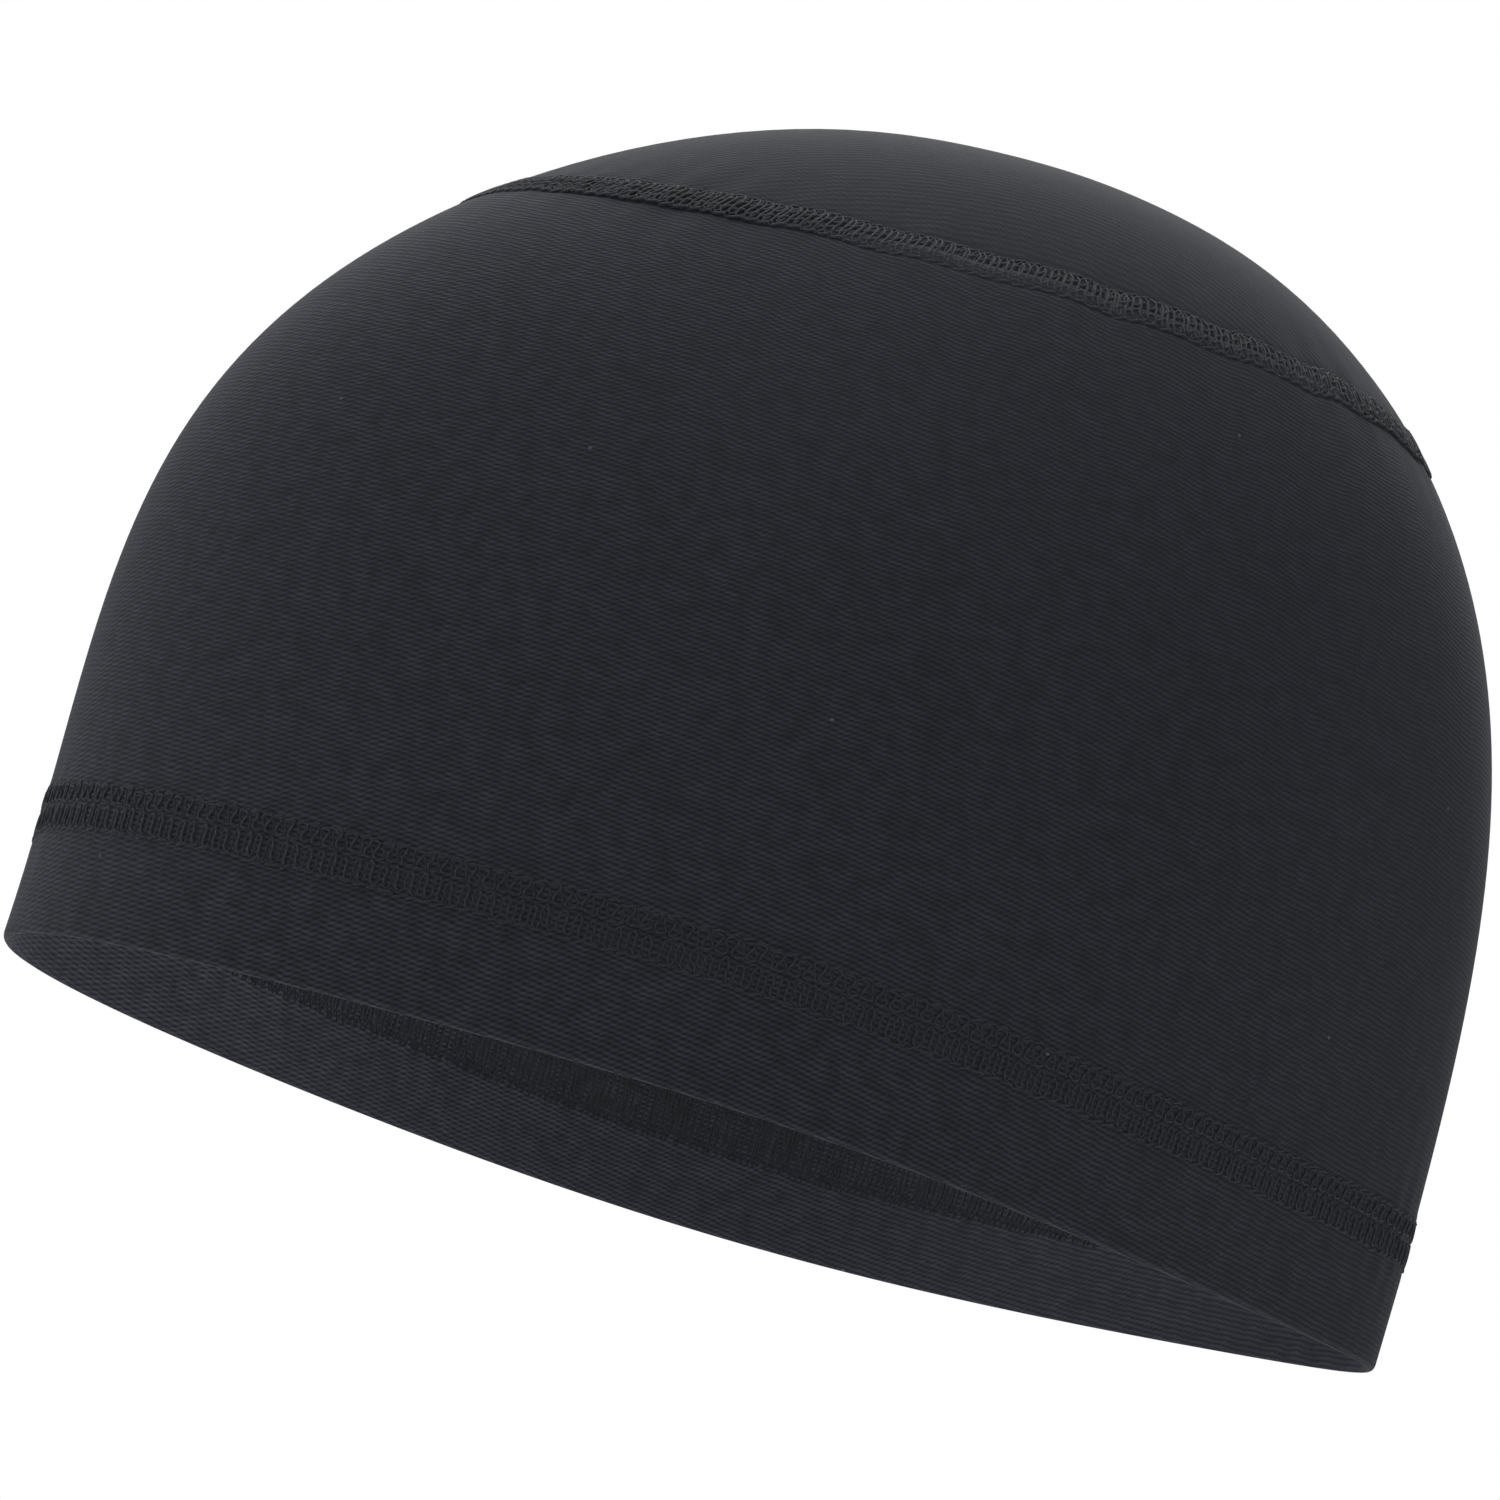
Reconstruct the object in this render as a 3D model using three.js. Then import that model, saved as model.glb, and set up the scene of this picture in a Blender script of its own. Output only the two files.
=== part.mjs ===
// A close-fitting skull cap of stretch knit cloth, shown in the form that it takes on a head.
// An oval top panel and a straight side band are joined by a flatlock seam round the crown.
// The band's lower edge is folded inwards, turned up and fastened by a coverstitch.
//
// Millimetres. +Z is up the head, -Y is the forehead and +Y the nape.
// The origin is the highest point of the inner face, where the crown of the head sits.

import * as THREE from 'three';

// Form of the cap, measured square to the plane of its rim
const rimHalfLength = 96.8; // forehead to nape, from the middle
const rimHalfWidth = 76.0; // side to side, from the middle
const height = 143.8; // rim plane to the top of the dome
const rimPitch = 17.2; // degrees that the rim drops from forehead to nape
const rimBow = 1.3; // dip of the rim in the middle of each side
const crownShift = 8.5; // how far the top of the dome lies towards the nape

// Fullness of the walls: 2 is an ellipse, and a higher number is squarer
const frontFullness = 2.66;
const backFullness = 2.56;
const sideFullness = 2.67;
const foreheadSwell = 0.149; // extra reach half way up, as a share of the reach
const foreheadSwellLow = 0.04; // part of that swell that sits lower down
const napeSwell = 0.057;

// The rim's outline in plan: an oval drawn out to a blunt point at each end
const pointMiddle = 0.3; // share of pointed outline, mean of the two ends
const pointNape = 0.2; // how much more pointed the nape is than the mean
const pointSharpness = 1.6;
const pointFade = 8.0; // how fast the points fade with height

// Cloth and thread
const ply = 1.0; // wall thickness
const gap = 0.3; // clearance between pieces
const thread = 0.5; // thickness of a layer of seam thread
const seamHalfWidth = 2.75; // flatlock seam
const seamCore = 0.3; // half thickness of the thread between the two cut edges
const seamLevel = 55.6; // meridian angle of the crown seam, in degrees
const seamTilt = 1.55; // the seam sits this much higher at the nape, and lower at the forehead
const foldRound = 0.7; // rounding of the folded edge
const hemHeight = 21.0; // height of the turned-up ply
const stitchLow = 14.3; // hem coverstitch, above the fold
const stitchHigh = 20.8;
const stitchOverEdge = 1.3; // how far the inner threads reach past the raw edge
const hemInner = 2 * ply + gap; // depth of the turned-up ply's inner face

// Fineness of the facets
const stations = 64; // round the cap
const bandRows = 11; // crown seam to rim
const panelRows = 7; // crown seam to the top of the dome
const normalStep = 0.002; // radians, for the slope of the surface
const poleLimit = Math.PI / 2 - 0.01; // the slope is read no closer to the top than this

const radians = THREE.MathUtils.degToRad;

// Outer surface. around is 0 at the left side of the head, 90 degrees at the nape; rise is the meridian
// angle, 0 at the rim and 90 degrees at the top of the dome.
function outerPoint(around, rise) {
  const level = Math.max(Math.cos(rise), 0);
  const lift = Math.sin(rise);
  const bulge = Math.sin(2 * rise) ** 2;
  const toNape = Math.sin(around);
  const toSide = Math.cos(around);

  const front = rimHalfLength * level ** (2 / frontFullness)
    * (1 + bulge * (foreheadSwell + foreheadSwellLow * Math.cos(2 * rise)));
  const back = rimHalfLength * level ** (2 / backFullness) * (1 + bulge * napeSwell);
  const side = rimHalfWidth * level ** (2 / sideFullness);

  const napeShare = 0.5 + toNape * (3 - toNape ** 2) / 4; // 0 at the forehead, smoothly to 1 at the nape
  const reach = front + (back - front) * napeShare;
  const point = (pointMiddle + pointNape * toNape) * level ** pointFade;
  const pointed = Math.sign(toSide) * Math.max(Math.cos(Math.PI / 2 * toNape), 0) ** pointSharpness;

  return new THREE.Vector3(
    side * ((1 - point) * toSide + point * pointed),
    crownShift * lift ** 2 + reach * toNape,
    height * lift - rimBow * (toSide * level) ** 2,
  );
}

// Outward normal of the outer surface
function outerNormal(around, rise) {
  const at = Math.min(rise, poleLimit);
  const alongRim = outerPoint(around + normalStep, at).sub(outerPoint(around - normalStep, at));
  const upwards = outerPoint(around, at + normalStep).sub(outerPoint(around, at - normalStep));
  return alongRim.cross(upwards).normalize();
}

// Point at a depth below the outer surface; a negative depth stands proud of it
function clothPoint(around, rise, depth) {
  return outerPoint(around, rise).addScaledVector(outerNormal(around, rise), -depth);
}

// Meridian angle that lies a distance in mm above another one, measured on the outer surface
function riseBy(around, rise, distance) {
  const step = outerPoint(around, rise + normalStep).distanceTo(outerPoint(around, rise));
  return rise + distance * normalStep / step;
}

// Meridian angle of the crown seam
function seamRise(around) {
  return radians(seamLevel + seamTilt * Math.sin(around));
}

// Solid from one cross-section for each station round the cap. A section is a list of [rise, depth]
// corners, outer face first. A closed section makes a ring. A dome's section starts and ends on the
// axis, at the top of its outer and of its inner face.
function solidFromSections(sectionAt, isDome) {
  const positions = [];
  const faces = [];
  const corners = sectionAt(0).length;
  for (let s = 0; s < stations; s += 1) {
    const around = s / stations * 2 * Math.PI;
    sectionAt(around).forEach(([rise, depth]) => positions.push(...clothPoint(around, rise, depth)));
  }
  const vertex = (s, c) => {
    const atTop = isDome && (c === 0 || c === corners - 1);
    return (atTop ? 0 : s % stations) * corners + c % corners;
  };
  const spans = isDome ? corners - 1 : corners;
  for (let s = 0; s < stations; s += 1) {
    for (let c = 0; c < spans; c += 1) {
      const [a, b] = [vertex(s, c), vertex(s + 1, c)];
      const [d, e] = [vertex(s, c + 1), vertex(s + 1, c + 1)];
      if (a !== b) faces.push(a, d, b);
      if (d !== e) faces.push(b, d, e);
    }
  }
  return compact(positions, faces);
}

// Drops the vertices that no face uses, such as the repeats of a dome's top
function compact(positions, faces) {
  const kept = [...new Set(faces)];
  const place = new Map(kept.map((old, fresh) => [old, fresh]));
  const geometry = new THREE.BufferGeometry();
  const packed = kept.flatMap((old) => positions.slice(3 * old, 3 * old + 3));
  geometry.setAttribute('position', new THREE.Float32BufferAttribute(packed, 3));
  geometry.setIndex(faces.map((old) => place.get(old)));
  geometry.computeVertexNormals();
  return geometry;
}

// Top panel: outer face from the top down to the cut edge, and the inner face back up
function topPanelSection(around) {
  const edge = riseBy(around, seamRise(around), seamCore + gap);
  const underSeam = riseBy(around, seamRise(around), seamHalfWidth);
  const rises = [edge];
  for (let row = 0; row < panelRows; row += 1) {
    const share = (1 - row / panelRows) ** (frontFullness / 2);
    rises.push(Math.acos(Math.cos(underSeam) * share));
  }
  rises.push(Math.PI / 2);
  const outer = rises.map((rise) => [rise, 0]).reverse();
  const inner = rises.map((rise) => [rise, ply]);
  return [...outer, ...inner];
}

// Side band: outer face from the cut edge down, round the fold, up the turned ply, over its raw edge,
// down its hidden face and up the band's own inner face
function sideBandSection(around) {
  const edge = riseBy(around, seamRise(around), -seamCore - gap);
  const underSeam = riseBy(around, seamRise(around), -seamHalfWidth);
  const hem = riseBy(around, 0, hemHeight);
  const fold = riseBy(around, 0, ply);
  const round = riseBy(around, 0, foldRound);
  const rows = [edge];
  for (let row = 0; row < bandRows; row += 1) {
    rows.push(underSeam + (hem - underSeam) * row / (bandRows - 1));
  }
  const outer = rows.map((rise) => [rise, 0]);
  const inner = rows.map((rise) => [rise, ply]).reverse();
  return [
    ...outer,
    [round, 0],
    [0, foldRound],
    [0, hemInner - foldRound],
    [round, hemInner],
    [hem, hemInner],
    [hem, ply + gap],
    [fold, ply + gap],
    [fold, ply],
    ...inner,
  ];
}

// Flatlock seam: a thread layer outside and one inside, joined between the two cut edges
function crownSeamSection(around) {
  const rise = seamRise(around);
  const [low, high] = [-seamHalfWidth, seamHalfWidth].map((d) => riseBy(around, rise, d));
  const [coreLow, coreHigh] = [-seamCore, seamCore].map((d) => riseBy(around, rise, d));
  const outside = -gap;
  const inside = ply + gap;
  return [
    [high, outside - thread],
    [low, outside - thread],
    [low, outside],
    [coreLow, outside],
    [coreLow, inside],
    [low, inside],
    [low, inside + thread],
    [high, inside + thread],
    [high, inside],
    [coreHigh, inside],
    [coreHigh, outside],
    [high, outside],
  ];
}

// Coverstitch rows on the outside of the hem
function hemOutsideSection(around) {
  const low = riseBy(around, 0, stitchLow);
  const high = riseBy(around, 0, stitchHigh);
  return [[high, -gap - thread], [low, -gap - thread], [low, -gap], [high, -gap]];
}

// Looper threads inside, stepped over the raw edge of the turned ply onto the band
function hemInsideSection(around) {
  const low = riseBy(around, 0, stitchLow);
  const rawEdge = riseBy(around, 0, hemHeight + gap);
  const shoulder = riseBy(around, 0, hemHeight + gap + thread);
  const high = riseBy(around, 0, hemHeight + stitchOverEdge);
  return [
    [high, ply + gap],
    [rawEdge, ply + gap],
    [rawEdge, hemInner + gap],
    [low, hemInner + gap],
    [low, hemInner + gap + thread],
    [shoulder, hemInner + gap + thread],
    [high, ply + gap + thread],
  ];
}

const panelCloth = new THREE.MeshStandardMaterial({ color: 0x2b2c2f, roughness: 0.85, metalness: 0 });
const bandCloth = new THREE.MeshStandardMaterial({ color: 0x1e2023, roughness: 0.85, metalness: 0 });
const seamThread = new THREE.MeshStandardMaterial({ color: 0x17181b, roughness: 0.6, metalness: 0 });

const pieces = [
  { name: 'top_panel', section: topPanelSection, isDome: true, material: panelCloth },
  { name: 'side_band', section: sideBandSection, isDome: false, material: bandCloth },
  { name: 'crown_seam', section: crownSeamSection, isDome: false, material: seamThread },
  { name: 'hem_stitch_outside', section: hemOutsideSection, isDome: false, material: seamThread },
  { name: 'hem_stitch_inside', section: hemInsideSection, isDome: false, material: seamThread },
];

// Highest point of the inner face once the rim is pitched. It lies on the middle line, a little
// in front of the top of the dome.
function crownOfTheHead() {
  const forehead = -Math.PI / 2;
  const pitched = [];
  for (let rise = radians(seamLevel); rise < Math.PI / 2; rise += normalStep) {
    const point = clothPoint(forehead, rise, ply);
    pitched.push(point.applyAxisAngle(new THREE.Vector3(1, 0, 0), -radians(rimPitch)));
  }
  return pitched.reduce((best, point) => (point.z > best.z ? point : best));
}

const cap = new THREE.Group();
cap.name = 'skull_cap';
cap.rotation.x = -radians(rimPitch);
cap.position.copy(crownOfTheHead()).negate();
pieces.forEach(({ name, section, isDome, material }) => {
  const mesh = new THREE.Mesh(solidFromSections(section, isDome), material);
  mesh.name = name;
  cap.add(mesh);
});

export default cap;
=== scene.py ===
# %% [markdown]
# A close-fitting skull cap of stretch knit cloth, in the form that it takes on a head.
# The solids of the cap come first, as a fixed frame in metres. Every surface that is made below
# lies where those solids say, and stands for them in the picture.

import bpy
import numpy as np
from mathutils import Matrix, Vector


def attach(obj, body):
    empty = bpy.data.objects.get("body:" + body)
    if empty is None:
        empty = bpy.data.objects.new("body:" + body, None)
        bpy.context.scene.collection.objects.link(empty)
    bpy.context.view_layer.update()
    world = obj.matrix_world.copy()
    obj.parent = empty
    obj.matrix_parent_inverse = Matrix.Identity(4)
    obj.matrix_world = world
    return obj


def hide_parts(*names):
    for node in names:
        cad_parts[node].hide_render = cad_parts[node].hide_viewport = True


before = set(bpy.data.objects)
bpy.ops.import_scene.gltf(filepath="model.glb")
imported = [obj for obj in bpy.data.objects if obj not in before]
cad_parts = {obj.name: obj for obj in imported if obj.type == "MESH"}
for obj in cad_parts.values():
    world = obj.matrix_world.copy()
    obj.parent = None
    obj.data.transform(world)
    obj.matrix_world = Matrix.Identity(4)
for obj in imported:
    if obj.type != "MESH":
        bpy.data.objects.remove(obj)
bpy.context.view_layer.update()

# %% [markdown]
# The form of the cap is one formula. Its level curves are ovals, drawn out to blunt points at the
# rim, and its upright sections are superellipses, fuller than an ellipse, because a head is boxier
# than an egg. A formula beats a sculpted mesh here: the cloth, its thickness and every stitch can
# be laid on the same surface and never drift apart. Sizes are in millimetres.

# %% Sizes of the form
MM = 0.001
RIM_HALF_LENGTH = 96.8
RIM_HALF_WIDTH = 76.0
HEIGHT = 143.8
RIM_PITCH = np.radians(17.2)
RIM_BOW = 1.3
CROWN_SHIFT = 8.5
FULLNESS = {"front": 2.66, "back": 2.56, "side": 2.67}
FOREHEAD_SWELL, FOREHEAD_SWELL_LOW, NAPE_SWELL = 0.149, 0.04, 0.057
POINT_MIDDLE, POINT_NAPE, POINT_SHARPNESS, POINT_FADE = 0.3, 0.2, 1.6, 8.0
SEAM_LEVEL, SEAM_TILT = np.radians(55.6), np.radians(1.55)
SOLID_WALL = 1.0
SLOPE_STEP = 0.002
POLE_LIMIT = np.pi / 2 - 0.01
print("rim", 2 * RIM_HALF_LENGTH, "by", 2 * RIM_HALF_WIDTH, "mm, dome", HEIGHT, "mm high")

# %% [markdown]
# Two angles name every place on the surface. One runs round the cap and the other climbs from the
# rim to the top. So a grid of angles gives a grid of points, all worked out at once.

# %% Outer face
def outer_surface(around, rise):
    """Points of the outer face, square to the rim. around runs from the left side of the head
    (0) to the nape (a quarter turn); rise is the meridian angle, 0 at the rim, 90 at the top.
    Reach = half size times cos(rise) to the power 2 / fullness, swollen by sin(2 rise) squared.
    Length = reach times sin(around) plus the crown's shift, width = reach times a mix of
    cos(around) and a pointed curve, height = HEIGHT times sin(rise) less the rim's bow."""
    level, lift = np.maximum(np.cos(rise), 0), np.sin(rise)
    bulge = np.sin(2 * rise) ** 2
    to_nape, to_side = np.sin(around), np.cos(around)
    swell = FOREHEAD_SWELL + FOREHEAD_SWELL_LOW * np.cos(2 * rise)
    front = RIM_HALF_LENGTH * level ** (2 / FULLNESS["front"]) * (1 + bulge * swell)
    back = RIM_HALF_LENGTH * level ** (2 / FULLNESS["back"]) * (1 + bulge * NAPE_SWELL)
    side = RIM_HALF_WIDTH * level ** (2 / FULLNESS["side"])
    reach = front + (back - front) * (0.5 + to_nape * (3 - to_nape**2) / 4)
    point = (POINT_MIDDLE + POINT_NAPE * to_nape) * level**POINT_FADE
    pointed = np.sign(to_side) * np.maximum(np.cos(np.pi / 2 * to_nape), 0) ** POINT_SHARPNESS
    x = side * ((1 - point) * to_side + point * pointed)
    y = CROWN_SHIFT * lift**2 + reach * to_nape
    z = HEIGHT * lift - RIM_BOW * (to_side * level) ** 2
    return np.stack(np.broadcast_arrays(x, y, z), axis=-1)


print("rim at the nape:", np.round(outer_surface(np.pi / 2, 0.0), 1), "mm from its middle")

# %% [markdown]
# Cloth has a thickness, so each point also needs the direction that is square to the face. The rim
# of a worn cap drops towards the nape, so the points are turned, and they are counted from the
# highest point inside, where the crown of the head sits. The last helper turns a distance along
# the cloth into an angle, because a seam is sewn in millimetres.

# %% Depth, tilt and distance
def outward(around, rise):
    """Unit normal of the outer face: the slope along the rim crossed with the slope upwards."""
    at = np.minimum(rise, POLE_LIMIT)
    along = outer_surface(around + SLOPE_STEP, at) - outer_surface(around - SLOPE_STEP, at)
    up = outer_surface(around, at + SLOPE_STEP) - outer_surface(around, at - SLOPE_STEP)
    normal = np.cross(along, up)
    return normal / np.linalg.norm(normal, axis=-1, keepdims=True)


def pitched(points):
    """Points turned about the side-to-side axis, so that the rim drops towards the nape."""
    x, y, z = np.moveaxis(points, -1, 0)
    c, s = np.cos(RIM_PITCH), np.sin(RIM_PITCH)
    return np.stack([x, y * c + z * s, z * c - y * s], axis=-1)


middle_line = np.linspace(SEAM_LEVEL, np.pi / 2, 400)
crown_line = outer_surface(-np.pi / 2, middle_line) - SOLID_WALL * outward(-np.pi / 2, middle_line)
crown_line = pitched(crown_line)
CROWN = crown_line[crown_line[:, 2].argmax()]


def cloth(around, rise, depth):
    """Places in the frame, in metres: the outer face, less depth (mm) along its normal."""
    around, rise, depth = np.broadcast_arrays(around, rise, depth)
    points = outer_surface(around, rise) - depth[..., None] * outward(around, rise)
    return (pitched(points) - CROWN) * MM


def rise_by(around, rise, distance):
    """Meridian angle that lies distance (mm) above another: distance over the slope's length."""
    step = outer_surface(around, rise + SLOPE_STEP) - outer_surface(around, rise)
    return rise + distance * SLOPE_STEP / np.linalg.norm(step, axis=-1)


top = cloth(0.0, np.pi / 2, 0.0)

# %% [markdown]
# The camera comes before the surfaces, because it is fixed by the picture and not by taste. It
# stands on the wearer's left, nine tenths of a metre away and a little below the cap, so the
# inside of the far side shows under the near rim.

# %% Camera
PHOTO_PIXELS = 1500
MM_PER_PIXEL = 0.137
CAMERA_DISTANCE = 900.0
CAMERA_AZIMUTH, CAMERA_ELEVATION = np.radians(85.8), np.radians(-10.5)
PIVOT_PIXEL = (842.6, 658.8)
SENSOR = 36.0

pivot = (pitched(np.array([0.0, 0.0, HEIGHT / 2])) - CROWN) * MM
toward = np.array([
    np.sin(CAMERA_AZIMUTH) * np.cos(CAMERA_ELEVATION),
    -np.cos(CAMERA_AZIMUTH) * np.cos(CAMERA_ELEVATION),
    np.sin(CAMERA_ELEVATION),
])
right = np.cross([0, 0, 1], toward)
right /= np.linalg.norm(right)
upward = np.cross(toward, right)
off_centre = (np.array(PIVOT_PIXEL) - PHOTO_PIXELS / 2) * MM_PER_PIXEL * MM
aim = pivot - right * off_centre[0] + upward * off_centre[1]

camera_data = bpy.data.cameras.new("photo_camera")
camera_data.sensor_width = SENSOR
camera_data.lens = SENSOR * CAMERA_DISTANCE / (PHOTO_PIXELS * MM_PER_PIXEL)
camera_data.clip_start = 0.01
camera = bpy.data.objects.new("photo_camera", camera_data)
bpy.context.scene.collection.objects.link(camera)
camera.location = Vector(pivot + toward * CAMERA_DISTANCE * MM)
camera.rotation_euler = (camera.location - Vector(aim)).to_track_quat("Z", "Y").to_euler()
bpy.context.scene.camera = camera
print("lens", round(camera_data.lens, 1), "mm, camera at", np.round(camera.location, 3))

# %% [markdown]
# Cloth is never as smooth as its formula. A sewn edge puckers, because the thread is shorter than
# the cloth, the two overlapped edges of a flatlock seam stand up as a low ridge, and a stretched
# hem grips inwards at the sides. All are small moves along the normal. A move is given by its
# height and by how far it reaches, in millimetres.

# %% Sizes of the relief
HEM_LOW, HEM_HIGH, HEM_PLY = 14.3, 20.8, 21.0
HEM_MIDDLE = (HEM_LOW + HEM_HIGH) / 2
FAR = 100.0  # stands for "nowhere near", where a distance isn't needed
SLACK, SLACK_TURN = 0.13, 0.05  # height, and how fast its waves shift up the band
HEM_GRIP, HEM_GRIP_REACH = 2.0, 12.0
HEM_PUCKER, HEM_PUCKER_REACH = 0.05, 8.0
PLY_STEP, PLY_STEP_WIDTH = 0.16, 1.6
GROOVE, GROOVE_OUTSIDE, GROOVE_INSIDE = 0.10, 1.2, 0.3  # depth, and where its flanks begin and end
SEAM_HALF_WIDTH = 2.6
SEAM_RIDGE, SEAM_FLANK = 0.08, 0.9
CREASE_BELOW, CREASE_ABOVE, CREASE_PLACE, CREASE_WIDTH = 0.12, 0.04, 0.1, 0.25
SEAM_PUCKER, SEAM_PUCKER_REACH = 0.07, 9.0
SEAM_WANDER = 0.0022  # radians of the meridian angle
print("stitches of the hem from", HEM_LOW, "to", HEM_HIGH, "mm above the fold")

# %% [markdown]
# No two puckers are alike, yet they have to close on themselves round the cap and come out the same
# each time. A sum of sine waves with whole wave numbers and seeded random phases does both. The
# crown seam wanders a little in the same way.

# %% Ripples
def ripple(seed, lowest, highest, count):
    """A function of around: the sum of count sine waves with random whole wave numbers, from
    lowest to just under highest, scaled to about one unit. A drift shifts each wave by its own
    share."""
    dice = np.random.default_rng(seed)
    waves = dice.integers(lowest, highest, count)
    phases = dice.uniform(0, 2 * np.pi, count)
    sizes = dice.uniform(0.5, 1.0, count)

    def wave(around, drift=0.0):
        angle = np.multiply.outer(around, waves) + phases + np.multiply.outer(drift, sizes)
        return (np.sin(angle) * sizes).sum(-1) / np.sqrt((sizes**2).sum() / 2)

    return wave


hem_pucker = ripple(3, 40, 95, 14)
seam_pucker = ripple(5, 22, 60, 12)
seam_wander = ripple(13, 9, 30, 10)
slack = ripple(8, 2, 8, 7)


def seam_rise(around):
    """Meridian angle of the crown seam: a level, a tilt towards the nape and a slight wander."""
    return SEAM_LEVEL + SEAM_TILT * np.sin(around) + SEAM_WANDER * seam_wander(around)


print("crown seam at", np.degrees(seam_rise(np.arange(4) * np.pi / 2)).round(2), "degrees")

# %% [markdown]
# Each term of the relief is a height times a curve that fades out with distance: a smooth step
# where one side is raised, and a bell where both sides are flat.

# %% Relief of the cloth
def smooth(low, high, value):
    """0 below low, 1 above high, and 3 t squared less 2 t cubed in between."""
    t = np.clip((value - low) / (high - low), 0, 1)
    return t * t * (3 - 2 * t)


def bell(value, centre, width):
    """A bell curve, 1 at its centre."""
    return np.exp(-(((value - centre) / width) ** 2))


def relief(around, above_fold, from_seam):
    """How far (mm) the cloth stands proud of the formula. from_seam is the distance from the
    crown seam, below it negative. Terms: slack, the hem's grip at the sides, its puckers, its
    second ply, the groove under its stitches, the ridge of the crown seam, the creases beside
    it and its puckers."""
    proud = SLACK * slack(around, above_fold * SLACK_TURN)
    proud = proud - HEM_GRIP * np.cos(around) ** 2 * bell(above_fold, 0.0, HEM_GRIP_REACH)
    proud = proud + HEM_PUCKER * hem_pucker(around) * bell(above_fold, HEM_MIDDLE, HEM_PUCKER_REACH)
    proud = proud + PLY_STEP * (1 - smooth(HEM_PLY, HEM_PLY + PLY_STEP_WIDTH, above_fold))
    lower = smooth(HEM_LOW - GROOVE_OUTSIDE, HEM_LOW + GROOVE_INSIDE, above_fold)
    upper = smooth(HEM_HIGH - GROOVE_INSIDE, HEM_HIGH + GROOVE_OUTSIDE, above_fold)
    proud = proud - GROOVE * lower * (1 - upper)
    away = np.abs(from_seam)
    proud = proud + SEAM_RIDGE * (1 - smooth(SEAM_HALF_WIDTH - SEAM_FLANK, SEAM_HALF_WIDTH, away))
    crease = np.where(from_seam < 0, CREASE_BELOW, CREASE_ABOVE)
    proud = proud - crease * bell(away, SEAM_HALF_WIDTH + CREASE_PLACE, CREASE_WIDTH)
    return proud + SEAM_PUCKER * seam_pucker(around) * bell(away, 0.0, SEAM_PUCKER_REACH)


all_round = np.linspace(0, 2 * np.pi, 1000)
plain = relief(all_round, np.full_like(all_round, 40.0), np.full_like(all_round, -60.0))
print("slack of the plain cloth:", round(plain.min(), 2), "to", round(plain.max(), 2), "mm")

# %% [markdown]
# A mesh is a list of points and a list of faces that name them. The points come from whole arrays:
# one row for each station round the cap, one column for each corner of the cross-section. Joining
# neighbours gives four-cornered faces, and joining the last station to the first closes the ring.

# %% From arrays to a mesh
def make_piece(name, points, faces, uv):
    """A mesh object at the origin, smooth-shaded, with one UV pair for each face corner."""
    mesh = bpy.data.meshes.new(name)
    mesh.from_pydata(points.reshape(-1, 3), [], faces)
    layer = mesh.uv_layers.new(name="cloth_uv")
    layer.data.foreach_set("uv", np.asarray(uv, np.float32).ravel())
    mesh.polygons.foreach_set("use_smooth", np.ones(len(mesh.polygons), bool))
    mesh.update()
    piece = bpy.data.objects.new(name, mesh)
    bpy.context.scene.collection.objects.link(piece)
    triangles = sum(len(face) - 2 for face in faces)
    print(f"{name}: {len(points.reshape(-1, 3))} points, {triangles} triangles")
    return piece


def ring_faces(stations, corners, closed=True):
    """Corner numbers of the quads of a ring: station s, corner c, then c + 1, turning outwards.
    Beside them, which station and corner each one is, before the ring is closed."""
    s, c = np.meshgrid(np.arange(stations), np.arange(corners - (not closed)), indexing="ij")
    stops = np.stack([s, s, s + 1, s + 1], axis=-1).reshape(-1, 4)
    marks = np.stack([c, c + 1, c + 1, c], axis=-1).reshape(-1, 4)
    return stops % stations * corners + marks % corners, stops, marks


def ring_piece(name, points, along, across):
    """A closed ring from points[station, corner]. along gives each station's UV length, one
    more than there are stations, and across gives each corner's."""
    stations, corners = points.shape[:2]
    faces, stops, marks = ring_faces(stations, corners)
    uv = np.stack([along[stops], across[marks % corners]], axis=-1)
    return make_piece(name, points, faces.tolist(), uv)


small_ring, _, _ = ring_faces(stations=4, corners=3)
print("a ring of 4 stations and 3 corners has", len(small_ring), "faces")

# %% [markdown]
# The side band and the hem are one piece of cloth. It runs from its cut edge under the crown seam
# down to the rim, folds inwards, and is turned up again for 21 mm. The rows of points lie close
# where the cloth bends, beside the seam and under the stitches, and even in between. The first one
# reaches 0.02 mm past the middle of the seam, so no light gets in between the two cloths. The
# stations start at the nape, where the join of the UV map is least seen.

# %% Rows of the side band
BAND_STATIONS = 440
PLAIN_ROWS = 32
FOLD_HEIGHT = 1.0
NEAR_SEAM = [-0.02, 0.8, 1.5, 2.0, 2.35, 2.6, 2.85, 3.1, 3.6, 4.5, 6.0, 8.2, 11.0]
NEAR_HEM = [26.0, 24.2, 23.0, 22.3, 21.6, 21.0, 20.4, 19.6, 18.6, 17.6, 16.6, 15.6, 14.8]
LOW_HEM = [14.2, 13.6, 13.0, 12.0, 10.5, 8.8, 7.0, 5.2, 3.6, 2.4, 1.6, FOLD_HEIGHT]


def band_rises(around):
    """Meridian angles of the band's rows, from the cut edge down to the fold: close rows beside
    the seam and under the stitches, even rows on the plain cloth between them."""
    seam = seam_rise(around)
    upper = [rise_by(around, seam, -d) for d in NEAR_SEAM]
    lower = [rise_by(around, 0 * around, d) for d in NEAR_HEM + LOW_HEM]
    plain = np.linspace(0, 1, PLAIN_ROWS + 2)[1:-1]
    middle = [upper[-1] + (lower[0] - upper[-1]) * share for share in plain]
    return np.stack(upper + middle + lower, axis=1)


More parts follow.
